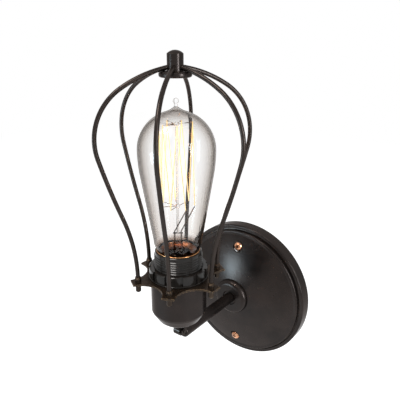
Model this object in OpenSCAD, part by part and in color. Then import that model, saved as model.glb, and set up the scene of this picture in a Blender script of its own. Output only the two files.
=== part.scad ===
// Cage wall light: a round canopy, a straight arm, a swivel, and a wire cage round a filament bulb.
// Millimetres. The wall is the plane y = 0, the light stands out from it towards -Y, +Z is up.
// The origin is the centre of the canopy's back. The lamp's own parts are drawn about its axis,
// with heights measured from the cage ring, and lamp_frame() puts them in place.

/* [Layout] */
// Distance from the wall to the axis of the lamp
reach = 110; // [104:1:150]
// Height of the cage ring above the arm
ring_height = 58; // [57:0.5:75]
// Height of the swivel's pivot above the arm
pivot_height = 5.5; // [4.5:0.1:5.9]

/* [Canopy] */
// Outside radius of the canopy's rim
canopy_r = 69.8; // [66:0.1:80]
// Height of the canopy's rim band from the wall
rim_height = 11.8; // [9:0.1:14]
// Width of the flat lip round the rim
rim_lip = 3.4; // [2.5:0.1:4.5]
// Height of the inner lip above the rim
step_height = 3.2; // [2.4:0.1:4]
// Width of the inner lip
step_width = 3.6; // [3:0.1:5]
// Rise of the dome from the inner lip to its flat top
dome_rise = 12.2; // [9:0.1:16]
// Radius of the dome's flat top
dome_top_r = 18.2; // [17.9:0.1:22]
// Radius of the curve along the dome's side
dome_curve = 200; // [150:5:400]
// Thickness of the canopy's sheet
canopy_wall = 1.5; // [1.2:0.1:2]

/* [Canopy screws and crossbar] */
// Distance between the two canopy screws
screw_spacing = 101.6; // [99:0.1:104]
// Radius of a canopy screw's shank
screw_r = 2; // [1.7:0.05:2.2]
// Radius of a canopy screw's head
screw_head_r = 4.4; // [4:0.1:4.9]
// Height of a canopy screw's head
screw_head_h = 3; // [2.6:0.1:3.4]
// Radius of the pressed flat under each canopy screw
seat_r = 5.4; // [5.2:0.1:6]
// Width of the crossbar
bar_w = 22; // [20:0.5:26]
// Thickness of the crossbar
bar_t = 2; // [1.6:0.1:2.4]
// Height of the crossbar's raised ends above the wall
bar_offset = 5; // [4:0.1:6]
// Length of each raised end, outside the bend
bar_end = 12; // [11:0.5:13]
// Distance between the slots for the wall box's screws
slot_spacing = 70; // [66:0.5:72]
// Length of each slot
slot_length = 12; // [8:0.5:13]
// Width of each slot
slot_w = 4.5; // [4:0.1:5]
// Radius of the hole for the supply wires
wire_hole_r = 6; // [5:0.1:8]
// Distance of the ground screw from the crossbar's middle
ground_at = 18; // [16:0.5:22]

/* [Arm] */
// Outside radius of the arm tube
arm_r = 5.2; // [5:0.1:5.6]
// Radius of the arm tube's bore
arm_bore_r = 3.7; // [3:0.1:4]
// Radius of the tube's threaded end inside the canopy
nipple_r = 4.7; // [4.4:0.05:4.9]
// Length of the threaded end behind the collar
nipple_length = 15; // [13:0.5:16.5]
// Radius of the round collar at the arm's root
collar_r = 17.6; // [15:0.1:17.8]
// Thickness of the collar
collar_h = 5.4; // [4:0.1:7]
// Distance across the flats of the locknuts
nut_flats = 14; // [13:0.1:15]
// Thickness of the locknuts
nut_h = 3; // [2.5:0.1:3.5]
// Thickness of the lock washers
washer_h = 1; // [0.8:0.05:1.2]

/* [Swivel] */
// Radius of the swivel's two discs
disc_r = 4.7; // [4.5:0.1:5]
// Thickness of each disc
disc_t = 3; // [2.6:0.1:3.3]
// Gap between the discs
disc_gap = 0.3; // [0.2:0.05:0.4]
// Distance from the pivot to the round end of the swivel's arm half
arm_end_at = 4.5; // [4.3:0.1:6]
// Length of the arm half outside the arm tube
stub_l = 8; // [6:0.5:10]
// Length of the arm half's plug inside the arm tube
plug_l = 9; // [7:0.5:12]
// Radius of the swivel screw
pivot_r = 1.6; // [1.5:0.05:1.8]
// Radius of the swivel screw's head
pivot_head_r = 2.9; // [2.7:0.1:3.2]
// Height of the swivel screw's head
pivot_head_h = 1.7; // [1.5:0.1:2.2]
// Distance across the flats of the swivel's nut
pivot_flats = 5.6; // [5.4:0.1:6]
// Thickness of the swivel's nut
pivot_nut_h = 2.4; // [2.2:0.1:2.8]
// Radius of the flange under the cup
flange_r = 6.2; // [5.8:0.1:7]

/* [Cup and socket] */
// Outside radius of the cup
cup_r = 23.25; // [22.9:0.05:24]
// Thickness of the cup's wall
cup_wall = 1.3; // [1:0.05:1.6]
// Depth of the cup's straight side below the ring
cup_side = 30.9; // [28.5:0.1:32.5]
// Depth of the cup's floor below the ring
cup_depth = 41; // [40.5:0.1:41.8]
// Radius of the cup's flat floor
cup_floor_r = 15.5; // [14:0.1:17]
// Radius of the socket's outside thread
thread_r = 19.85; // [19.6:0.05:20.1]
// Pitch of the socket's outside thread
thread_pitch = 2; // [1.8:0.1:2.2]
// Depth of the socket's outside thread
thread_depth = 0.7; // [0.5:0.05:0.8]
// Height of the socket's mouth above the ring
mouth_z = 24; // [23:0.1:25.5]
// Radius of the socket's mouth
mouth_r = 17.4; // [17.2:0.05:17.6]
// Depth of the socket's mouth
mouth_depth = 4; // [3.5:0.1:5]
// Thickness of the socket's flange, which rests on the cup
socket_flange = 1.2; // [1:0.05:1.5]
// Outside radius of the copper screw shell
shell_r = 14.3; // [14.2:0.05:14.5]
// Thickness of the copper screw shell
shell_wall = 0.6; // [0.5:0.05:0.65]
// Depth of the socket's cavity below the ring
cavity_z = 9.5; // [9:0.1:10.5]
// Depth of the socket's body below the ring
body_z = 22.5; // [20.5:0.1:24.5]

/* [Cage] */
// Radius of the circle that the wires' feet stand on
foot_r = 34.5; // [34:0.1:36]
// Thickness of the cage ring
ring_t = 1.5; // [1.2:0.1:2]
// Distance from the axis to the lugs' ends
lug_r = 39.7; // [38.8:0.1:41]
// Width of a lug's end
lug_w = 10; // [9:0.1:11]
// Distance from the axis to the waist between two lugs
waist_r = 27.6; // [26:0.1:29]
// Number of wires
wires = 6; // [6:1:6]
// Turn of the first wire from the front of the light
first_wire = 27.5; // [20:0.5:35]
// Radius of a wire
wire_r = 1.7; // [1.5:0.05:1.8]
// Length of a wire's foot below the ring
foot_below = 7.3; // [6:0.1:8.5]
// Height at which a wire starts to lean out
foot_above = 4.2; // [4:0.1:5]
// Radius of the wire's outward bend
flare_bend = 148; // [140:1:156]
// Angle of the wire's outward bend
flare_turn = 20.8; // [19.5:0.1:22]
// Radius of the wire's long side
side_bend = 556; // [480:1:640]
// Angle of the wire's long side
side_turn = 5.2; // [4.8:0.1:5.6]
// Radius of the wire's shoulder
shoulder_bend = 44.7; // [43:0.1:46]
// Angle of the wire's shoulder
shoulder_turn = 72.8; // [71:0.1:74]
// Radius of the wire's top bend
top_bend = 94.5; // [90:0.1:99]
// Distance from the axis to a wire's end inside the hub cap
wire_in = 4.4; // [4.3:0.05:4.7]
// Outside radius of a ferrule on a wire's foot
ferrule_r = 2.2; // [2.1:0.05:2.35]
// Radius of the bead round a ferrule
bead_r = 2.6; // [2.5:0.05:2.8]
// Height of the bead above the cage ring
bead_h = 3.6; // [3:0.1:4]
// Height of a ferrule's top above the cage ring
ferrule_above = 4.4; // [4.1:0.1:5]
// Radius of the hub disc
hub_disc_r = 12.3; // [11:0.1:14]
// Thickness of the hub disc
hub_disc_t = 4.2; // [3.8:0.1:4.6]
// Depth of the dish in the hub disc's top
dish = 0.9; // [0.6:0.1:1.2]
// Radius of the hub cap
hub_r = 6.1; // [5.8:0.05:6.4]
// Height of the hub cap above the wires
hub_above = 12.1; // [10:0.1:13.5]

/* [Shade ring] */
// Outside radius of the notched ring
shade_ring_r = 24.3; // [24:0.1:25.5]
// Height of the notched ring
shade_ring_h = 9.1; // [8:0.1:10]
// Number of notches round the ring
notches = 12; // [8:1:16]
// Width of a notch
notch_w = 2.5; // [2:0.1:3.5]
// Depth of a notch
notch_d = 1.4; // [1:0.1:1.8]
// Thickness of the thin flange under the notches
shade_flange = 1; // [0.8:0.1:1.4]

/* [Bulb] */
// Largest radius of the glass
glass_r = 30.2; // [29:0.1:31]
// Height of the widest place above the ring
glass_wide_z = 107; // [104.5:0.1:109.5]
// Thickness of the glass
glass_wall = 0.9; // [0.7:0.05:1.1]
// Radius of the curve along the glass's side
glass_bow = 127; // [120:1:135]
// Angle of the glass's tapered side
glass_taper = 9.3; // [9:0.1:9.6]
// Height at which the neck starts to draw in
neck_z = 33.5; // [32.5:0.1:35.5]
// Radius of the pip on the top
pip_r = 2.2; // [1.9:0.1:2.5]
// Radius of the pip's waist
pip_waist = 1.4; // [1.2:0.1:1.8]
// Height of the pip over the crown of the glass
pip_h = 8.9; // [8:0.1:9.5]
// Radius at which the crown starts to draw up into the pip
flare_r = 9; // [8:0.1:10]
// Radius of the hollow curve from the crown up to the pip
flare_curve = 25; // [20:1:32]
// Radius of the bulb's screw base
base_r = 13.15; // [13:0.05:13.2]
// Length of the screw base
base_l = 24.5; // [23.5:0.1:25]
// Pitch of the base's thread
base_pitch = 3.6; // [3.4:0.1:3.8]
// Radius of the circle that the filament hangs on
filament_r = 13.5; // [11:0.1:16]
// Distance from the glass's crown down to the filament's upper bends
filament_drop = 9.7; // [9:0.1:14]
// Height of the filament between its lower and upper bends
filament_length = 65; // [60:0.5:67]
// Number of the filament's upper bends
filament_loops = 6; // [5:1:7]
// Radius of the filament
filament_wire_r = 0.35; // [0.25:0.05:0.4]
// Radius of the lead wires
lead_r = 0.45; // [0.4:0.05:0.6]

/* [Clearances] */
// Play between a shaft and its hole
fit_gap = 0.06; // [0.04:0.01:0.09]
// Gap between pieces that can turn on each other
seat_gap = 0.3; // [0.2:0.05:0.35]
// Play round a wire, ferrule or screw in a hole
hole_gap = 0.1; // [0.05:0.01:0.15]

/* [Hidden] */
$fn = 96;
eps = 0.01;
bronze = [0.16, 0.13, 0.12];
copper = [0.72, 0.40, 0.24];
brass = [0.72, 0.56, 0.28];
steel = [0.62, 0.62, 0.64];
phenolic = [0.08, 0.08, 0.09];
clear = [0.85, 0.82, 0.74, 0.35];
amber = [1, 0.72, 0.25];
green = [0.16, 0.45, 0.22];

// Canopy profile, as distances from its axis and from the wall
groove_r = canopy_r - rim_lip - 0.6;
step_r = groove_r - 0.9;
dome_r = step_r - step_width;
dome_z = rim_height + step_height;
top_z = dome_z + dome_rise;
seat_z = dome_height(screw_spacing / 2) - 0.6;
collar_z = top_z + collar_h;

// Lamp heights, from the cage ring's middle
cup_top = -ring_t / 2 - socket_flange;
pivot_z = pivot_height - ring_height;
// The top bend ends where the wire points almost straight at the hub
top_turn = 169.4 - 90 + flare_turn - side_turn - shoulder_turn;
wire_bends = [[flare_bend, -flare_turn], [side_bend, side_turn],
              [shoulder_bend, shoulder_turn], [top_bend, top_turn]];
foot = [foot_r, foot_above];
wire_end = path_end(foot, 90, wire_bends);
hub_run = (wire_end[0][0] - wire_in) / cos(180 - wire_end[1]);
hub_z = wire_end[0][1] + (wire_end[0][0] - hub_r) * tan(180 - wire_end[1]);
disc_top = hub_z - wire_r / cos(180 - wire_end[1]) - (hub_disc_r - hub_r) * tan(180 - wire_end[1]) + 0.1;
hub_top = hub_z + hub_above;

// Bulb heights
base_top = mouth_z - 3;
base_low = base_top - base_l;
tip_z = base_low - 3;
neck_r = base_r - 0.9;
pip_top = glass_wide_z + glass_r + pip_h;
stem_press = neck_z - 4;
filament_high = glass_wide_z + glass_r - filament_drop;
filament_low = filament_high - filament_length;
side_z = glass_wide_z - glass_bow * sin(glass_taper);
side_r = glass_r - glass_bow * (1 - cos(glass_taper));
neck_top_r = side_r - (side_z - neck_z) * tan(glass_taper);

// Height of the dome's surface over the wall at a distance from the canopy's axis
function dome_height(r) =
    let (c = dome_centre())
    c[1] + sqrt(dome_curve * dome_curve - (r - c[0]) * (r - c[0]));
// Centre of the dome's curve, from its two ends
function dome_centre() =
    let (a = [dome_r, dome_z], b = [dome_top_r, top_z], m = (a + b) / 2,
         d = norm(b - a), n = [(a - b)[1], -(a - b)[0]] / d)
    m + n * sqrt(dome_curve * dome_curve - d * d / 4);
// Point along a bent rod after one bend: the centre is to the left for a positive turn
function bend_centre(p, heading, bend) =
    p + bend[0] * sign(bend[1]) * [cos(heading + 90), sin(heading + 90)];
function bend_end(p, heading, bend) =
    let (c = bend_centre(p, heading, bend), a = heading - 90 * sign(bend[1]) + bend[1])
    c + bend[0] * [cos(a), sin(a)];
function path_end(p, heading, bends, i = 0) =
    i == len(bends) ? [p, heading]
    : path_end(bend_end(p, heading, bends[i]), heading + bends[i][1], bends, i + 1);
// Points of an arc, both ends included
function arc(c, r, a0, a1, n = 12) =
    [for (i = [0:n]) c + r * [cos(a0 + (a1 - a0) * i / n), sin(a0 + (a1 - a0) * i / n)]];

module lamp_frame() { translate([0, -reach, ring_height]) children(); }
// Stands its children's +Z out of the wall
module from_wall() { rotate([90, 0, 0]) children(); }
module at_wires() { for (i = [0:wires - 1]) at_wire(i) children(); }
module at_wire(i) { rotate(first_wire - 90 + i * 360 / wires) children(); }
module rod(a, b, r) {
    d = b - a;
    translate(a) rotate([0, acos(d[2] / norm(d)), atan2(d[1], d[0])]) cylinder(r = r, h = norm(d), $fn = 24);
}
module hex_nut(flats, bore, h) {
    difference() {
        intersection() {
            cylinder(r = flats / 2 / cos(30), h = h, $fn = 6);
            translate([0, 0, h - flats / 2])
                cylinder(r1 = flats * 0.58 + flats / 2, r2 = flats * 0.54, h = flats / 2);
        }
        translate([0, 0, -1]) cylinder(r = bore, h = h + 2);
    }
}
// Round screw head with a cross recess, on z = 0
module round_head(r, h, cross = true) {
    ball = (r * r + h * h) / (2 * h);
    difference() {
        intersection() {
            cylinder(r = r, h = h);
            translate([0, 0, h - ball]) sphere(r = ball);
        }
        if (cross) for (a = [0, 90]) rotate(a)
            translate([-r * 0.5, -r * 0.11, h - 1.5]) cube([r, r * 0.22, 2]);
    }
}

// ---- Wall side -------------------------------------------------------------------------------

module canopy_shape(inset) {
    lip = 1.5;
    polygon(concat(
        [[0, inset > 0 ? -1 : 0], [canopy_r - inset, inset > 0 ? -1 : 0]],
        arc([canopy_r - lip, rim_height - lip], lip - min(inset, lip - 0.05), 0, 90),
        [[groove_r + 0.6, rim_height - inset], [groove_r, rim_height - 1 - inset],
         [step_r, rim_height - 0.9 - inset]],
        arc([step_r - lip, dome_z - lip], lip - min(inset, lip - 0.05), 0, 90),
        [for (i = [0:16]) let (r = dome_r + (dome_top_r - dome_r) * i / 16) [r, dome_height(r) - inset]],
        [[0, top_z - inset]]));
}
module canopy() color(bronze) from_wall() difference() {
    union() {
        difference() {
            rotate_extrude() canopy_shape(0);
            rotate_extrude() canopy_shape(canopy_wall);
            at_screws() translate([0, 0, seat_z]) cylinder(r = seat_r, h = 20);
        }
        at_screws() translate([0, 0, seat_z - canopy_wall - 0.5]) cylinder(r = seat_r, h = canopy_wall + 0.5);
    }
    at_screws() cylinder(r = screw_r + 4 * hole_gap, h = 60);
    cylinder(r = nipple_r + 2 * hole_gap, h = 60);
}
module at_screws() { for (s = [-1, 1]) translate([0, s * screw_spacing / 2, 0]) children(); }

module crossbar() color(steel) from_wall() {
    half = screw_spacing / 2 + 8;
    bend = half - bar_end;
    difference() {
        translate([-bar_w / 2, 0, 0]) rotate([90, 0, 90]) linear_extrude(bar_w)
            polygon([[-half, bar_offset], [-bend, bar_offset], [-bend + bar_offset, 0],
                     [bend - bar_offset, 0], [bend, bar_offset],
                     [half, bar_offset], [half, bar_offset + bar_t],
                     [bend - bar_t * 0.4, bar_offset + bar_t], [bend - bar_offset - bar_t * 0.4, bar_t],
                     [-bend + bar_offset + bar_t * 0.4, bar_t], [-bend + bar_t * 0.4, bar_offset + bar_t],
                     [-half, bar_offset + bar_t]]);
        at_screws() cylinder(r = screw_r + fit_gap, h = 40, center = true);
        for (s = [-1, 1]) translate([0, s * slot_spacing / 2, 0]) slot();
        cylinder(r = wire_hole_r, h = 10, center = true);
        translate([0, ground_at, 0]) cylinder(r = screw_r + fit_gap, h = 10, center = true);
    }
}
module slot() {
    run = (slot_length - slot_w) / 2;
    for (s = [-1, 1]) translate([0, s * run, -1]) cylinder(r = slot_w / 2, h = 10);
    translate([-slot_w / 2, -run, -1]) cube([slot_w, 2 * run, 10]);
}

module canopy_screws() color(copper) from_wall() at_screws() {
    translate([0, 0, seat_z]) round_head(screw_head_r, screw_head_h);
    translate([0, 0, 1.5]) cylinder(r = screw_r, h = seat_z - 1);
}

module ground_screw() color(green) from_wall() translate([0, ground_at, bar_t]) {
    cylinder(r = 4.2, h = 0.9);
    difference() {
        cylinder(r = 3.6, h = 3.2, $fn = 6);
        translate([-4, -0.5, 2]) cube([8, 1, 2]);
    }
    translate([0, 0, -bar_t + 0.3]) cylinder(r = screw_r, h = bar_t);
}

module arm_collar() color(bronze) from_wall() translate([0, 0, top_z]) difference() {
    round = collar_h - 0.8;
    rotate_extrude() polygon(concat([[0, 0], [collar_r, 0]],
        arc([collar_r - round, collar_h - round], round, 0, 90),
        [[arm_r + 2.2, collar_h], [arm_r + 1.4, collar_h - 0.8], [0, collar_h - 0.8]]));
    translate([0, 0, -1]) cylinder(r = nipple_r + fit_gap, h = collar_h + 2);
}

module arm_tube() color(bronze) from_wall() {
    root = collar_z - 0.8;
    tip = reach - arm_end_at - stub_l;
    difference() {
        union() {
            translate([0, 0, root - nipple_length]) cylinder(r = nipple_r, h = nipple_length + 1);
            translate([0, 0, root]) cylinder(r = arm_r, h = tip - root);
        }
        translate([0, 0, root - nipple_length - 1]) cylinder(r = arm_bore_r, h = tip);
        translate([0, 0, tip - 20]) cylinder(r = arm_bore_r, h = 30);
    }
}

module arm_lock_washer() color(steel) from_wall() translate([0, 0, top_z - canopy_wall - washer_h])
    lock_washer(nipple_r + 2 * hole_gap);
module lock_washer(bore) {
    teeth = 12;
    difference() {
        union() {
            cylinder(r = nut_flats / 2 - 0.2, h = washer_h);
            for (i = [0:teeth - 1]) rotate(i * 360 / teeth)
                translate([nut_flats / 2 - 1, -0.7, 0]) cube([1.9, 1.4, washer_h]);
        }
        translate([0, 0, -1]) cylinder(r = bore, h = washer_h + 2);
    }
}
module arm_locknut() color(brass) from_wall()
    translate([0, 0, top_z - canopy_wall - washer_h - nut_h]) hex_nut(nut_flats, nipple_r + fit_gap, nut_h);

// ---- Swivel ----------------------------------------------------------------------------------

// The pivot runs along X. Its children are drawn in a frame at the pivot.
module pivot_frame() { translate([0, -reach, pivot_height]) children(); }
module across(x, t) { translate([x, 0, 0]) rotate([90, 0, 90]) linear_extrude(t) children(); }

module swivel_arm_half() color(bronze) pivot_frame() {
    tip = 1.6;
    away = [arm_end_at + stub_l - 1, -pivot_height];
    side = [-away[1], away[0]] / norm(away);
    difference() {
        union() {
            across(disc_gap / 2, disc_t) union() {
                circle(r = disc_r);
                polygon([side * disc_r, -side * disc_r, away - side * 3.6, away + side * 3.6]);
            }
            difference() {
                along_arm(arm_end_at) rotate_extrude() polygon(concat([[0, 0]],
                    arc([arm_r - tip, tip], tip, -90, 0), [[arm_r, stub_l], [0, stub_l]]));
                across(-disc_gap / 2 - disc_t - 4, disc_gap + disc_t + 4) circle(r = disc_r + seat_gap);
            }
            along_arm(arm_end_at + stub_l - 1) cylinder(r = arm_bore_r - fit_gap, h = plug_l + 1);
        }
        across(-1, 10) circle(r = pivot_r + fit_gap);
        along_arm(arm_end_at + 3) cylinder(r = arm_bore_r - 1.3, h = stub_l + plug_l);
    }
}
// Stands its children's +Z along the arm, towards the wall, at a distance from the pivot
module along_arm(y) { translate([0, y, -pivot_height]) rotate([-90, 0, 0]) children(); }

module swivel_cup_half() color(bronze) pivot_frame() {
    flange_low = disc_r + seat_gap;
    flange_top = ring_height - cup_depth - pivot_height;
    tab_w = 2 * disc_r - 0.8;
    difference() {
        union() {
            across(-disc_gap / 2 - disc_t, disc_t) union() {
                circle(r = disc_r);
                translate([-tab_w / 2, 0]) square([tab_w, flange_low + 1]);
            }
            translate([0, 0, flange_low]) cylinder(r1 = disc_r + 0.2, r2 = flange_r, h = 2.5);
            translate([0, 0, flange_low + 2.5]) cylinder(r = flange_r, h = flange_top - flange_low - 2.5);
            translate([0, 0, flange_top - 1])
                cylinder(r = nipple_r, h = ring_height - pivot_height - body_z - 3 - flange_top);
        }
        across(-disc_t - 1, disc_t + 2) circle(r = pivot_r + fit_gap);
        translate([0, 0, flange_low + 1.5]) cylinder(r = 3, h = 60);
    }
}

module swivel_screw() color(bronze) pivot_frame() rotate([0, -90, 0]) {
    translate([0, 0, disc_gap / 2 + disc_t + 0.05]) difference() {
        union() {
            cylinder(r = pivot_head_r, h = pivot_head_h - 0.8);
            translate([0, 0, pivot_head_h - 0.8])
                cylinder(r1 = pivot_head_r, r2 = pivot_head_r - 0.8, h = 0.8);
        }
        translate([-5, -0.5, pivot_head_h - 0.9]) cube([10, 1, 2]);
    }
    shank = disc_gap + 2 * disc_t + pivot_nut_h + 0.8;
    translate([0, 0, disc_gap / 2 + disc_t + 0.3 - shank]) cylinder(r = pivot_r, h = shank);
}
module swivel_nut() color(bronze) pivot_frame() translate([disc_gap / 2 + disc_t + 0.05, 0, 0])
    rotate([0, 90, 0]) hex_nut(pivot_flats, pivot_r + fit_gap, pivot_nut_h);

// ---- Cup and socket --------------------------------------------------------------------------

module cup_shape(inset) {
    round = 3;
    polygon(concat(
        [[0, -cup_depth + inset]], [[cup_floor_r - inset * 0.4, -cup_depth + inset]],
        [[cup_floor_r + 2.6 - inset * 0.7, -cup_depth + 2.2 + inset * 0.7]],
        [[cup_r - 0.9 - inset, -cup_side - 1.4 + inset * 0.5], [cup_r - inset, -cup_side + 0.6]],
        [[cup_r - inset, cup_top + (inset > 0 ? 1 : 0)], [0, cup_top + (inset > 0 ? 1 : 0)]]));
}
module socket_cup() color(bronze) lamp_frame() difference() {
    rotate_extrude() cup_shape(0);
    rotate_extrude() cup_shape(cup_wall);
    translate([0, 0, -cup_depth - 1]) cylinder(r = nipple_r + 2 * hole_gap, h = 10);
}
module cup_lock_washer() color(steel) lamp_frame() translate([0, 0, -cup_depth + cup_wall])
    lock_washer(nipple_r + 2 * hole_gap);
module cup_locknut() color(brass) lamp_frame() translate([0, 0, -cup_depth + cup_wall + washer_h])
    hex_nut(nut_flats, nipple_r + fit_gap, nut_h);

module socket_body() color(phenolic) lamp_frame() {
    turns = floor((mouth_z - 1 - cup_top - socket_flange) / thread_pitch);
    difference() {
        rotate_extrude() polygon(concat(
            [[0, -body_z - 8], [8, -body_z - 8], [8, -body_z], [17.5, -body_z + 2], [17.5, cup_top],
             [cup_r - 0.1, cup_top], [cup_r - 0.1, cup_top + socket_flange],
             [thread_r - thread_depth, cup_top + socket_flange]],
            [for (i = [0:turns - 1]) for (p = [[0, 0.15], [thread_depth, 0.5], [0, 0.85]])
                [thread_r - thread_depth + p[0], cup_top + socket_flange + (i + p[1]) * thread_pitch]],
            [[thread_r - thread_depth, mouth_z - 0.5],
             [thread_r - thread_depth - 0.5, mouth_z], [0, mouth_z]]));
        translate([0, 0, mouth_z - mouth_depth]) cylinder(r = mouth_r, h = 10);
        translate([0, 0, -cavity_z]) cylinder(r = shell_r + hole_gap, h = 60);
        translate([0, 0, -body_z - 9]) cylinder(r = nipple_r + fit_gap, h = 6);
        at_terminals() translate([0, 0, -body_z + 5]) rotate([0, 90, 0]) cylinder(r = 1.6, h = 30);
    }
}
module at_terminals() { for (a = [0, 180]) rotate(a) children(); }

module screw_shell() color(copper) lamp_frame() {
    low = 1.5 - cavity_z;
    top = mouth_z - mouth_depth + 1.4;
    difference() {
        union() {
            translate([0, 0, low]) cylinder(r = shell_r, h = top - low);
            translate([0, 0, mouth_z - mouth_depth]) cylinder(r = shell_r + 1.2, h = 1.4);
        }
        translate([0, 0, low - 1]) cylinder(r = shell_r - shell_wall, h = 60);
    }
}
module centre_contact() color(brass) lamp_frame() {
    drop = cavity_z;
    translate([-2.5, 0, 0]) rotate([90, 0, 90]) linear_extrude(5)
        polygon([[-9, -drop], [2, -drop], [2, -drop + 0.6], [-6.5, -drop + 0.6], [4, tip_z - seat_gap - 0.6],
                 [4, tip_z - seat_gap], [-9, -drop + 0.7]]);
}
module terminal_screws() color(brass) lamp_frame() at_terminals() translate([0, 0, -body_z + 5]) {
    translate([17.6, 0, 0]) rotate([0, 90, 0]) round_head(2.8, 1.8, false);
    translate([12, 0, 0]) rotate([0, 90, 0]) cylinder(r = 1.5, h = 6);
}

// ---- Cage ------------------------------------------------------------------------------------

module cage_ring() color(bronze) lamp_frame() {
    step = 360 / wires;
    horn = lug_w / 2;
    // Circles cut the waists: each just takes off the corners of two lugs
    px = lug_r * cos(step / 2) + horn * sin(step / 2);
    py = lug_r * sin(step / 2) - horn * cos(step / 2);
    waist_at = (px * px + py * py - waist_r * waist_r) / (2 * (px - waist_r));
    translate([0, 0, -ring_t / 2]) difference() {
        linear_extrude(ring_t) difference() {
            polygon([for (i = [0:wires - 1]) for (s = [-1, 1]) let (a = first_wire - 90 + i * step)
                [lug_r * cos(a) - s * horn * sin(a), lug_r * sin(a) + s * horn * cos(a)]]);
            for (i = [0:wires - 1]) rotate(first_wire - 90 + (i + 0.5) * step) translate([waist_at, 0])
                circle(r = waist_at - waist_r + 0.1);
        }
        translate([0, 0, -1]) cylinder(r = thread_r + seat_gap, h = ring_t + 2);
        at_wires() translate([foot_r, 0, -1]) cylinder(r = ferrule_r + hole_gap, h = ring_t + 2);
    }
}

// One wire in the XZ plane, from its foot to the hub: straight ends and four bends, joined by beads
module bent_wire() {
    cut = 0.05;
    translate([foot_r, 0, -foot_below]) cylinder(r = wire_r, h = foot_below + foot_above - cut);
    run_bends(foot, 90, wire_bends, cut);
    translate([wire_end[0][0], 0, wire_end[0][1]]) rotate([0, 90 - wire_end[1], 0]) {
        translate([0, 0, cut]) cylinder(r = wire_r, h = hub_run);
        sphere(r = wire_r * 1.04);
    }
}
module run_bends(p, heading, bends, cut, i = 0) {
    if (i < len(bends)) {
        b = bends[i];
        c = bend_centre(p, heading, b);
        start = heading - 90 * sign(b[1]);
        trim = cut / b[0] * 180 / PI;
        translate([c[0], 0, c[1]]) rotate([90, 0, 0]) rotate(min(start, start + b[1]) + trim)
            rotate_extrude(angle = abs(b[1]) - 2 * trim) translate([b[0], 0]) circle(r = wire_r);
        translate([p[0], 0, p[1]]) sphere(r = wire_r * 1.04);
        run_bends(bend_end(p, heading, b), heading + b[1], bends, cut, i + 1);
    }
}
module cage_wire(i) color(bronze) lamp_frame() at_wire(i) bent_wire();

module wire_ferrules() color(bronze) lamp_frame() at_wires() translate([foot_r, 0, 0]) {
    low = -foot_below - 1;
    top = ring_t / 2 + ferrule_above;
    difference() {
        union() {
            translate([0, 0, low + 0.8]) cylinder(r = ferrule_r, h = top - low - 0.8);
            translate([0, 0, low]) cylinder(r1 = ferrule_r - 0.8, r2 = ferrule_r, h = 0.8);
            translate([0, 0, ring_t / 2]) cylinder(r = bead_r, h = bead_h - 0.3);
            translate([0, 0, ring_t / 2 + bead_h - 0.3]) cylinder(r1 = bead_r, r2 = bead_r - 0.3, h = 0.3);
        }
        translate([0, 0, -foot_below - eps]) cylinder(r = wire_r + hole_gap, h = 30);
        // The bore opens out where the wire starts to lean
        translate([0, 0, foot_above]) cylinder(r1 = wire_r + hole_gap, r2 = wire_r + hole_gap + 0.15, h = 3);
    }
}

module hub_disc() color(bronze) lamp_frame() translate([0, 0, disc_top - hub_disc_t]) difference() {
    rotate_extrude() polygon(concat([[0, 0]], arc([hub_disc_r - 1.6, 1.6], 1.6, -90, 0),
        arc([hub_disc_r - 1.6, hub_disc_t - 1.6], 1.6, 0, 90),
        [[hub_disc_r - 2.6, hub_disc_t - 0.1], [hub_disc_r - 3.4, hub_disc_t - dish],
         [hub_r + 0.6, hub_disc_t - dish], [hub_r + 0.2, hub_disc_t], [0, hub_disc_t]]));
    translate([0, 0, -1]) cylinder(r = 2 + hole_gap, h = 10);
    translate([0, 0, -eps]) cylinder(r1 = 4 + hole_gap, r2 = 2 + hole_gap, h = 2);
}
module hub_cap() color(bronze) lamp_frame() difference() {
    tall = hub_top - disc_top;
    dome = 2.2;
    rim = hub_r - 0.3;
    ball = (rim * rim + dome * dome) / (2 * dome);
    translate([0, 0, disc_top]) rotate_extrude() polygon(concat(
        [[0, 0], [hub_r, 0], [hub_r, tall - dome - 0.3]],
        arc([0, tall - ball], ball, acos(rim / ball), 90, 8)));
    translate([0, 0, disc_top - 1]) cylinder(r = 2 + fit_gap, h = 8);
    at_wires() translate([wire_end[0][0], 0, wire_end[0][1]]) rotate([0, 90 - wire_end[1], 0])
        translate([0, 0, -20]) cylinder(r = wire_r + hole_gap, h = 20 + hub_run + hole_gap);
}
module hub_screw() color(bronze) lamp_frame() translate([0, 0, disc_top - hub_disc_t]) difference() {
    union() {
        cylinder(r1 = 4, r2 = 2, h = 2);
        translate([0, 0, 1.9]) cylinder(r = 2, h = hub_disc_t + 4.6);
    }
    translate([-5, -0.5, -1]) cube([10, 1, 1.8]);
}

module shade_ring() color(phenolic) lamp_frame() translate([0, 0, ring_t / 2 + seat_gap]) difference() {
    chamfer = 0.6;
    rotate_extrude() polygon([[thread_r + seat_gap, 0], [shade_ring_r + 0.1, 0], [shade_ring_r + 0.3, 0.2],
        [shade_ring_r + 0.3, shade_flange - 0.2], [shade_ring_r + 0.1, shade_flange],
        [shade_ring_r, shade_flange], [shade_ring_r, shade_ring_h - chamfer],
        [shade_ring_r - chamfer, shade_ring_h],
        [thread_r + seat_gap + 0.4, shade_ring_h], [thread_r + seat_gap, shade_ring_h - 0.4]]);
    for (i = [0:notches - 1]) rotate((i + 0.5) * 360 / notches)
        translate([shade_ring_r - notch_d, -notch_w / 2, shade_flange]) cube([5, notch_w, shade_ring_h + 2]);
}

// ---- Bulb ------------------------------------------------------------------------------------

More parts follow.
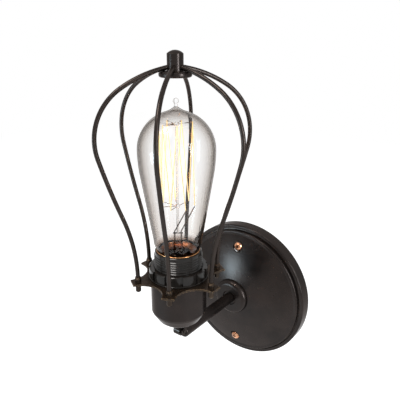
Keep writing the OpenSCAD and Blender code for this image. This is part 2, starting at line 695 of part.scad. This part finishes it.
// The glass from its neck up the tapered side and over the crown, drawn out into the pip
module glass_shape(inset) {
    r = glass_r - inset;
    low = base_top - 5 - (inset > 0 ? 1 : 0);
    rise = neck_z - base_top - 0.3;
    a = acos(flare_r / glass_r);
    sweep = flare_curve + inset;
    c = [0, glass_wide_z] + (r + sweep) * [cos(a), sin(a)];
    // The hollow curve ends where it meets the pip's waist, or the axis on the inside
    end = inset > 0 ? 0.05 : pip_waist - 0.05;
    b = 180 + acos((c[0] - end) / sweep);
    tip = c + sweep * [cos(b), sin(b)];
    polygon(concat(
        [[0, low], [neck_r - inset, low], [neck_r - inset, base_top + 0.3]],
        [for (i = [1:10]) let (t = i / 10)
            [neck_r - inset + (neck_top_r - neck_r) * sin(90 * t),
             base_top + 0.3 + rise * (0.62 * (1 - cos(90 * t)) + 0.38 * t)]],
        arc([glass_r - glass_bow, glass_wide_z], glass_bow - inset, -glass_taper, 0, 8),
        arc([0, glass_wide_z], r, 4, a, 20),
        arc(c, sweep, a + 180, b, 8),
        [[0, tip[1]]]));
}
module bulb_glass() color(clear) lamp_frame() {
    difference() {
        union() {
            rotate_extrude() glass_shape(0);
            translate([0, 0, glass_wide_z + glass_r]) cylinder(r = pip_waist, h = pip_h - pip_r - 1);
            translate([0, 0, pip_top - pip_r]) sphere(r = pip_r);
            translate([0, 0, pip_top - pip_r - 1.6])
                cylinder(r1 = pip_waist - 0.01, r2 = pip_r * 0.94, h = 1);
        }
        rotate_extrude() glass_shape(glass_wall);
    }
}
module bulb_base() color(brass) lamp_frame() {
    crest = 0.8;
    coils = floor((base_l - 5) / base_pitch);
    difference() {
        union() {
            translate([0, 0, base_low]) cylinder(r = base_r - crest * 0.75, h = base_l);
            for (i = [0:coils - 1]) translate([0, 0, base_low + 3.4 + i * base_pitch])
                rotate_extrude() translate([base_r - crest, 0]) circle(r = crest, $fn = 24);
            translate([0, 0, base_top - 1.2]) cylinder(r1 = base_r - crest, r2 = base_r, h = 1.2);
        }
        translate([0, 0, base_low + 0.6]) cylinder(r = neck_r + hole_gap, h = 60);
        translate([0, 0, base_low - 1]) cylinder(r = 9, h = 4);
    }
}
module base_insulator() color(phenolic) lamp_frame() difference() {
    translate([0, 0, tip_z + 0.8]) cylinder(r1 = 5, r2 = 9 - hole_gap, h = base_low - tip_z - 0.2);
    translate([0, 0, tip_z - 1]) cylinder(r = 2 + hole_gap, h = 10);
}
module base_contact() color(steel) lamp_frame() {
    translate([0, 0, tip_z + 0.6]) cylinder(r = 2, h = base_low - tip_z);
    translate([0, 0, tip_z]) cylinder(r1 = 3.2, r2 = 4.4, h = 0.7);
}
// Place of a filament bend, counted round from the first lead
function bend_at(i, z) =
    let (a = i * 150 / filament_loops) [filament_r * cos(a), filament_r * sin(a), z];
function inward(p, d) = let (f = 1 - d / norm([p[0], p[1]])) [p[0] * f, p[1] * f, p[2]];
module bulb_frame() { lamp_frame() rotate(37) children(); }

module glass_stem() color(clear) bulb_frame() {
    flare = base_top - 4;
    difference() {
        union() {
            translate([0, 0, flare]) cylinder(r1 = neck_r - glass_wall - hole_gap, r2 = 4, h = 7);
            translate([0, 0, flare + 7]) cylinder(r = 4, h = stem_press - flare - 6);
            translate([-4, -1.6, stem_press]) cube([8, 3.2, 9]);
            translate([0, 0, stem_press + 8]) cylinder(r = 1, h = filament_high - stem_press - 8);
            for (z = [filament_low - 1, filament_high - 1]) translate([0, 0, z]) sphere(r = 1.9);
        }
        translate([0, 0, flare - 1]) cylinder(r1 = neck_r - glass_wall - 2, r2 = 2.6, h = 7);
        for (s = [-1, 1]) translate([s * 2.6, 0, flare])
            cylinder(r = lead_r + hole_gap, h = 40, $fn = 24);
    }
}
// Each lead rises through the stem and then leans out to one end of the filament
module lead_wires() color(copper) bulb_frame() for (s = [-1, 1]) {
    up = [s * 2.6, 0, stem_press + 10.5];
    rod([s * 2.6, 0, base_top - 1], up, lead_r);
    translate(up) sphere(r = lead_r * 1.15, $fn = 24);
    rod(up, bend_at(s > 0 ? 0 : 2 * filament_loops, filament_low - 1.2), lead_r);
}
module filament_hooks() color(steel) bulb_frame() for (i = [1:2 * filament_loops - 1]) {
    z = i % 2 == 1 ? filament_high : filament_low;
    rod(inward(bend_at(i, z - 1), filament_r - 2.1),
        inward(bend_at(i, z), filament_wire_r + 0.35), 0.25);
}
module filament() color(amber) bulb_frame() {
    n = 2 * filament_loops;
    bends = [for (i = [0:n]) bend_at(i, i % 2 == 1 ? filament_high : filament_low)];
    for (i = [0:n - 1]) rod(bends[i], bends[i + 1], filament_wire_r);
    for (p = bends) translate(p) sphere(r = filament_wire_r * 1.15, $fn = 24);
}

canopy();
crossbar();
canopy_screws();
ground_screw();
arm_collar();
arm_tube();
arm_locknut();
arm_lock_washer();
swivel_arm_half();
swivel_screw();
swivel_nut();
swivel_cup_half();
cup_locknut();
cup_lock_washer();
socket_cup();
socket_body();
screw_shell();
centre_contact();
terminal_screws();
cage_ring();
cage_wire(0);  // cage_wire_1
cage_wire(1);  // cage_wire_2
cage_wire(2);  // cage_wire_3
cage_wire(3);  // cage_wire_4
cage_wire(4);  // cage_wire_5
cage_wire(5);  // cage_wire_6
wire_ferrules();
hub_disc();
hub_cap();
hub_screw();
shade_ring();
bulb_glass();
bulb_base();
base_insulator();
base_contact();
glass_stem();
lead_wires();
filament_hooks();
filament();
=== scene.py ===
import math
import bpy
from mathutils import Matrix, Vector


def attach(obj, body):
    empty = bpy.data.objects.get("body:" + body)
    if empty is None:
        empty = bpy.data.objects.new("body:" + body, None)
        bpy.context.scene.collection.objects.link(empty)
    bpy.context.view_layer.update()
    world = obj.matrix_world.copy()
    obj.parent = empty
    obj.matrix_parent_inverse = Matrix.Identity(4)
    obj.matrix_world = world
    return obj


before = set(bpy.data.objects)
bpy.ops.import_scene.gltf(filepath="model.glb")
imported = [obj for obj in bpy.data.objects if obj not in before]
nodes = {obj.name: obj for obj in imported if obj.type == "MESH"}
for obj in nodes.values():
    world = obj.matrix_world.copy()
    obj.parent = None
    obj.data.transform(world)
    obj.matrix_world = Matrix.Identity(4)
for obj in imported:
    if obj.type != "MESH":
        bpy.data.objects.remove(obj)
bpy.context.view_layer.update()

scene = bpy.context.scene

# Lamp axis and the height of the cage ring, in metres
AXIS_Y, RING_Z = -0.110, 0.058
# Light from all round, and what the floor adds for the camera so that it reads white but keeps its shadow
AMBIENT, FLOOR_LIFT = 0.5, 0.55
FLOOR_Z, FLOOR_HALF = -0.7, 4


# ---------------------------------------------------------------- camera, fitted to the photograph
cam_data = bpy.data.cameras.new("camera")
cam = bpy.data.objects.new("camera", cam_data)
scene.collection.objects.link(cam)
cam_data.sensor_width = 36.0
cam_data.lens = 43.66
cam_data.clip_start, cam_data.clip_end = 0.01, 20
right = Vector((0.7985, 0.6021, 0.0001))
up = Vector((-0.1983, 0.2629, 0.9442))
back = Vector((0.5685, -0.7539, 0.3293))
pos = Vector((0.2320, -0.3881, 0.2507))
cam.matrix_world = Matrix((
    (right.x, up.x, back.x, pos.x),
    (right.y, up.y, back.y, pos.y),
    (right.z, up.z, back.z, pos.z),
    (0, 0, 0, 1)))
scene.camera = cam


# ---------------------------------------------------------------- materials
class Nodes:
    """A small helper that builds the node tree of a material or a world line by line."""

    def __init__(self, owner, output="ShaderNodeOutputMaterial"):
        self.owner = owner
        owner.use_nodes = True
        self.tree = owner.node_tree
        self.tree.nodes.clear()
        self.out = self.tree.nodes.new(output)

    def add(self, kind, inputs=None, **props):
        n = self.tree.nodes.new(kind)
        for k, v in props.items():
            setattr(n, k, v)
        for k, v in (inputs or {}).items():
            if isinstance(v, bpy.types.NodeSocket):
                self.tree.links.new(v, n.inputs[k])
            else:
                n.inputs[k].default_value = v
        return n

    def place(self):
        return self.add("ShaderNodeTexCoord").outputs["Object"]

    def noise(self, co, scale, **more):
        return self.add("ShaderNodeTexNoise", {"Vector": co, "Scale": scale, **more}).outputs["Fac"]

    def remap(self, value, from_min=0.0, from_max=1.0, to_min=0.0, to_max=1.0, **props):
        n = self.add("ShaderNodeMapRange", {
            "Value": value, "From Min": from_min, "From Max": from_max, "To Min": to_min, "To Max": to_max}, **props)
        return n.outputs["Result"]

    def maths(self, operation, a, b):
        return self.add("ShaderNodeMath", {0: a, 1: b}, operation=operation).outputs["Value"]

    def blend(self, factor, a, b, how="MIX"):
        """Colour a where the factor is 0, and b where it is 1."""
        n = self.add("ShaderNodeMix", {"Factor": factor, "A": a, "B": b}, data_type="RGBA", blend_type=how)
        return n.outputs["Result"]

    def either(self, factor, a, b):
        """Shader a where the factor is 0, and b where it is 1."""
        return self.add("ShaderNodeMixShader", {0: factor, 1: a, 2: b}).outputs["Shader"]

    def bump(self, height, strength, distance):
        n = self.add("ShaderNodeBump", {"Height": height, "Strength": strength, "Distance": distance})
        return n.outputs["Normal"]

    def ramp(self, fac, stops):
        n = self.add("ShaderNodeValToRGB", {"Fac": fac})
        e = n.color_ramp.elements
        while len(e) < len(stops):
            e.new(0.5)
        for item, (at, colour) in zip(e, stops):
            item.position = at
            item.color = (*colour, 1)
        return n.outputs["Color"]

    def surface(self, shader):
        self.tree.links.new(shader, self.out.inputs["Surface"])
        return self.owner


def new_look(name):
    return Nodes(bpy.data.materials.new(name))


def worn_edges(t, co, radius=0.0006):
    """Mask that is 1 on worn edges: where a rounded normal leaves the true one, broken up by noise."""
    round_normal = t.add("ShaderNodeBevel", {"Radius": radius}, samples=6).outputs["Normal"]
    true_normal = t.add("ShaderNodeNewGeometry").outputs["Normal"]
    along = t.add("ShaderNodeVectorMath", {0: round_normal, 1: true_normal}, operation="DOT_PRODUCT")
    edge = t.remap(along.outputs["Value"], 0.98, 0.84)
    patch = t.remap(t.noise(co, 420.0, Detail=3.0, Roughness=0.6), 0.42, 0.62)
    return t.maths("MULTIPLY", edge, patch)


def coated_metal(name, dark, light, wear=0.5, rough=(0.22, 0.30)):
    """Oil-rubbed bronze: mottled dark coat, uneven gloss, fine orange peel, and edges rubbed to bare metal."""
    t = new_look(name)
    co = t.place()
    mottle = t.noise(co, 42.0, Detail=5.0, Roughness=0.6)
    fine = t.noise(co, 900.0, Detail=3.0)
    coat = t.ramp(mottle, [(0.32, dark), (0.72, light)])
    rubbed = t.maths("MULTIPLY", worn_edges(t, co), wear)
    b = t.add("ShaderNodeBsdfPrincipled", {
        "Base Color": t.blend(rubbed, coat, (*WORN, 1)), "Roughness": t.remap(mottle, 0.3, 0.7, *rough),
        "Metallic": 0.7, "Specular IOR Level": 0.35, "Specular Tint": (0.50, 0.47, 0.46, 1),
        "Normal": t.bump(fine, 0.05, 0.0004)})
    return t.surface(b.outputs["BSDF"])


def bare_metal(name, dark, light, rough=0.3, deep=0.0012):
    """Bare metal with faint tarnish, and painted shade in its recesses."""
    t = new_look(name)
    tarnish = t.noise(t.place(), 300.0, Detail=4.0)
    colour = t.ramp(tarnish, [(0.3, dark), (0.7, light)])
    open_sky = t.add("ShaderNodeAmbientOcclusion", {"Distance": deep}, samples=6).outputs["AO"]
    b = t.add("ShaderNodeBsdfPrincipled", {
        # Darker in recesses: painted shade
        "Base Color": t.blend(t.remap(open_sky, 0.3, 0.85), (*RECESS_SHADE, 1), colour), "Roughness": rough,
        "Metallic": 1.0, "Normal": t.bump(tarnish, 0.05, 0.0003)})
    return t.surface(b.outputs["BSDF"])


def moulded(name, colour, rough=0.16):
    """Dark moulded plastic with a faint flow pattern and rubbed edges."""
    t = new_look(name)
    co = t.place()
    flow = t.noise(co, 160.0, Detail=3.0)
    shade = t.ramp(flow, [(0.3, tuple(c * 0.8 for c in colour)), (0.7, tuple(c * 1.25 for c in colour))])
    rubbed = t.maths("MULTIPLY", worn_edges(t, co, 0.0004), 0.12)
    b = t.add("ShaderNodeBsdfPrincipled", {
        "Base Color": t.blend(rubbed, shade, (0.16, 0.15, 0.14, 1)), "Roughness": rough,
        "Specular IOR Level": 0.2, "Normal": t.bump(flow, 0.04, 0.0003)})
    return t.surface(b.outputs["BSDF"])


def clear_glass(name, edge_shade, ior, rim):
    """Thin blown glass: faint ripples, painted shade that deepens where the wall turns away, darker glass towards
    the bottom, and painted copper-brown shade in the neck."""
    t = new_look(name)
    co = t.place()
    ripple = t.noise(co, 26.0, Detail=1.0)
    facing = t.add("ShaderNodeLayerWeight", {"Blend": 0.5}).outputs["Facing"]
    height = t.add("ShaderNodeSeparateXYZ", {"Vector": co}).outputs["Z"]
    # 0 in the neck and 1 above it; 0 at the crown and 1 low down
    neck = t.remap(height, RING_Z + 0.022, RING_Z + 0.031, interpolation_type="SMOOTHSTEP")
    low = t.remap(height, RING_Z + 0.085, RING_Z + 0.036)
    # Painted shade where the wall turns away, and darker towards the bottom
    darkened_colour = t.blend(low, t.ramp(facing, edge_shade), (*LOW_DARKENING, 1), "MULTIPLY")
    # Painted copper-brown shade in the neck
    clear = t.add("ShaderNodeBsdfPrincipled", {
        "Base Color": t.blend(neck, (*NECK_COPPER_SHADE, 1), darkened_colour), "Roughness": 0.0, "IOR": ior, "Transmission Weight": 1.0,
        "Normal": t.bump(ripple, 0.03, 0.0006)})
    # Where the wall is seen edge on, and in the neck, it is darkened: painted shade
    dark = t.add("ShaderNodeBsdfTransparent", {"Color": (0.30, 0.26, 0.23, 1)})
    edge_on = t.remap(facing, 0.5, 0.93, 0.0, rim)
    neck_shade = t.remap(neck, 0.0, 1.0, 0.7, 0.0)
    wall = t.either(t.maths("MAXIMUM", edge_on, neck_shade), clear.outputs["BSDF"], dark.outputs["BSDF"])
    # Its shadow is pale
    passing = t.add("ShaderNodeBsdfTransparent", {"Color": (0.97, 0.95, 0.93, 1)})
    shadow = t.add("ShaderNodeLightPath").outputs["Is Shadow Ray"]
    return t.surface(t.either(shadow, wall, passing.outputs["BSDF"]))


def glow(name, colour, hot, cast_colour, seen, cast):
    """Glowing filament: what is seen of it, also through the glass, is toned down, and what it casts isn't."""
    t = new_look(name)
    tone = t.ramp(t.noise(t.place(), 30.0), [(0.35, colour), (0.65, hot)])
    path = t.add("ShaderNodeLightPath")
    in_sight = t.maths("MAXIMUM", path.outputs["Is Camera Ray"], path.outputs["Is Transmission Ray"])
    b = t.add("ShaderNodeBsdfPrincipled", {
        "Base Color": (0.06, 0.04, 0.02, 1), "Roughness": 0.5,
        "Emission Color": t.blend(in_sight, (*cast_colour, 1), tone),
        "Emission Strength": t.remap(in_sight, 0.0, 1.0, cast, seen)})
    return t.surface(b.outputs["BSDF"])


# Bare metal on worn edges, painted shade in recesses, glass darker towards the bottom, and painted copper-brown
# shade in its neck
WORN, RECESS_SHADE, LOW_DARKENING, NECK_COPPER_SHADE = (0.30, 0.19, 0.10), (0.05, 0.03, 0.02), (0.925, 0.905, 0.89), (0.34, 0.17, 0.08)

BRONZE = coated_metal("bronze", (0.015, 0.0122, 0.0112), (0.026, 0.0198, 0.0176), wear=0.16)
BRONZE_WIRE = coated_metal("bronze_wire", (0.018, 0.014, 0.012), (0.030, 0.023, 0.020), rough=(0.25, 0.33))
BRONZE_RING = coated_metal("bronze_ring", (0.022, 0.016, 0.012), (0.042, 0.029, 0.020), 0.9, (0.24, 0.34))
COPPER = bare_metal("copper", (0.34, 0.145, 0.075), (0.66, 0.35, 0.21), rough=0.16, deep=0.0026)
SHELL = bare_metal("shell_copper", (0.34, 0.15, 0.06), (0.64, 0.34, 0.15), rough=0.22, deep=0.003)
BRASS = bare_metal("brass", (0.50, 0.36, 0.14), (0.74, 0.56, 0.26))
# A shaded copy of brass: painted shade for the bulb's base and the inside of its neck
SHADED_BASE = bare_metal("shaded_base_brass", (0.09, 0.035, 0.018), (0.24, 0.10, 0.045), deep=0.004)
ZINC = bare_metal("zinc", (0.42, 0.42, 0.44), (0.62, 0.62, 0.63), rough=0.36)
LEAD = bare_metal("lead", (0.05, 0.04, 0.035), (0.12, 0.09, 0.07), rough=0.45)
GREEN = bare_metal("green", (0.05, 0.22, 0.08), (0.10, 0.36, 0.14), rough=0.4)
PHENOLIC = moulded("phenolic", (0.009, 0.0075, 0.0065))
BLACK_GLASS = moulded("black_glass", (0.01, 0.01, 0.012), rough=0.15)
GLASS = clear_glass("glass", [
    (0.0, (0.975, 0.978, 0.985)), (0.2, (0.94, 0.936, 0.93)), (0.36, (0.80, 0.78, 0.765)),
    (0.55, (0.57, 0.53, 0.50)), (0.72, (0.37, 0.33, 0.295)), (0.88, (0.17, 0.135, 0.115))], ior=1.2, rim=0.6)
STEM_GLASS = clear_glass("stem_glass", [(0.0, (0.94, 0.93, 0.92)), (0.7, (0.55, 0.50, 0.47))], ior=1.3, rim=0.3)
FILAMENT = glow("filament", (1.0, 0.74, 0.28), (1.0, 0.88, 0.48), (1.0, 0.45, 0.16), seen=0.95, cast=30.0)

LOOKS = {
    "crossbar": ZINC, "canopy_screws": COPPER, "ground_screw": GREEN, "arm_locknut": BRASS, "arm_lock_washer": ZINC,
    "cup_locknut": BRASS, "cup_lock_washer": ZINC, "socket_body": PHENOLIC, "screw_shell": SHELL,
    "centre_contact": BRASS, "terminal_screws": BRASS, "shade_ring": PHENOLIC, "bulb_glass": GLASS,
    "bulb_base": SHADED_BASE, "base_insulator": BLACK_GLASS, "base_contact": ZINC, "glass_stem": STEM_GLASS,
    "lead_wires": LEAD, "filament_hooks": LEAD, "filament": FILAMENT, "cage_ring": BRONZE_RING,
    "wire_ferrules": BRONZE_RING,
}
for name, obj in nodes.items():
    look = LOOKS.get(name, BRONZE_WIRE if name.startswith("cage_wire") else BRONZE)
    for slot in obj.material_slots:
        slot.material = look


# ---------------------------------------------------------------- copper that shows in the socket's mouth
def lathe(name, profile, look, body, around=96):
    """A closed profile of (radius, height above the ring) in mm, turned round the lamp's axis."""
    verts, faces, n = [], [], len(profile)
    for i in range(around):
        a = 2 * math.pi * i / around
        for r, z in profile:
            verts.append((r * math.cos(a) / 1000, AXIS_Y + r * math.sin(a) / 1000, RING_Z + z / 1000))
        for j in range(n):
            k, m = (i + 1) % around, (j + 1) % n
            faces.append((i * n + j, k * n + j, k * n + m, i * n + m))
    mesh = bpy.data.meshes.new(name)
    mesh.from_pydata(verts, [], faces)
    mesh.validate()
    for p in mesh.polygons:
        p.use_smooth = True
    mesh.set_sharp_from_angle(angle=math.radians(40))
    mesh.materials.append(look)
    piece = bpy.data.objects.new(name, mesh)
    scene.collection.objects.link(piece)
    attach(piece, body)


def arc(centre, radius, start, end, steps=10):
    """Points of an arc, in degrees."""
    return [(centre[0] + radius * math.cos(math.radians(start + (end - start) * i / steps)),
             centre[1] + radius * math.sin(math.radians(start + (end - start) * i / steps)))
            for i in range(steps + 1)]


# The shell's flange runs out over the ledge and up the mouth's wall, and ends in a rolled edge on the rim
LEDGE_IN, LEDGE_Z, MOUTH_WALL, RIM_Z = 15.7, 20.04, 17.32, 24.04
lathe("mouth_liner",
      [(LEDGE_IN, LEDGE_Z), (MOUTH_WALL, LEDGE_Z), (MOUTH_WALL, RIM_Z), (17.8, RIM_Z)]
      + arc((17.55, 24.45), 0.46, -40, 200) + [(17.06, 20.3), (LEDGE_IN, 20.3)],
      SHELL, "head")
# The base's own metal shows through the neck of the glass, darkened into painted shade
NECK = [(11.2, 17.2), (11.2, 21.35), (12.3, 21.9), (13.45, 22.65), (14.55, 23.6), (15.0, 24.1)]
LINING = 0.15
lathe("neck_lining",
      NECK + arc((14.85, 24.25), 0.2, -20, 180, 6) + [(r - LINING, z + 0.1) for r, z in reversed(NECK[:-1])],
      SHADED_BASE, "bulb")


# ---------------------------------------------------------------- stage and light
def background_mix(t, own, plain_white):
    """Camera, glossy and transmission rays get the plain white, and all others the object's own light."""
    path = t.add("ShaderNodeLightPath")
    seen = path.outputs["Is Camera Ray"]
    for other in ("Is Glossy Ray", "Is Transmission Ray"):
        seen = t.maths("MAXIMUM", seen, path.outputs[other])
    return t.either(seen, own, plain_white)


scene.world = bpy.data.worlds.new("world")
w = Nodes(scene.world, "ShaderNodeOutputWorld")
ambient, white = (w.add("ShaderNodeBackground", {"Color": (1, 1, 1, 1), "Strength": strength}).outputs[0]
                  for strength in (AMBIENT, 1.0))
w.surface(background_mix(w, ambient, white))

# Soft boxes that look at the lamp: place, width and height, watts, colour
BOXES = {
    "key": ((-0.772, -1.305, -0.107), (0.34, 0.34), 11, (0.60, 0.85, 1.0)),
    "side": ((1.36, -0.30, 0.36), (0.22, 0.9), 22, (0.88, 0.95, 1.0)),
    "top": ((-0.15, -0.8, 1.4), (0.8, 0.5), 22, (1.0, 0.96, 0.92)),
}
LOOK_AT = Vector((0, AXIS_Y, 0.06))
for name, (at, size, power, colour) in BOXES.items():
    data = bpy.data.lights.new(name, "AREA")
    data.shape = "RECTANGLE"
    data.size, data.size_y = size
    data.energy = power
    data.color = colour
    lamp = bpy.data.objects.new(name, data)
    scene.collection.objects.link(lamp)
    lamp.location = at
    lamp.rotation_mode = "QUATERNION"
    lamp.rotation_quaternion = (LOOK_AT - lamp.location).to_track_quat("-Z", "Y")

floor = bpy.data.meshes.new("floor")
floor.from_pydata([(x * FLOOR_HALF, y * FLOOR_HALF, FLOOR_Z) for x, y in ((-1, -1), (1, -1), (1, 1), (-1, 1))],
                  [], [(0, 1, 2, 3)])
floor_obj = bpy.data.objects.new("floor", floor)
scene.collection.objects.link(floor_obj)
t = new_look("floor")
pale = t.add("ShaderNodeBsdfDiffuse", {"Color": (0.86, 0.86, 0.86, 1)}).outputs["BSDF"]
lift = t.add("ShaderNodeEmission", {"Color": (1, 1, 1, 1), "Strength": FLOOR_LIFT}).outputs["Emission"]
lifted = t.add("ShaderNodeAddShader", {0: pale, 1: lift}).outputs["Shader"]
floor.materials.append(t.surface(background_mix(t, pale, lifted)))

scene.view_settings.view_transform = "Standard"

bpy.context.view_layer.update()
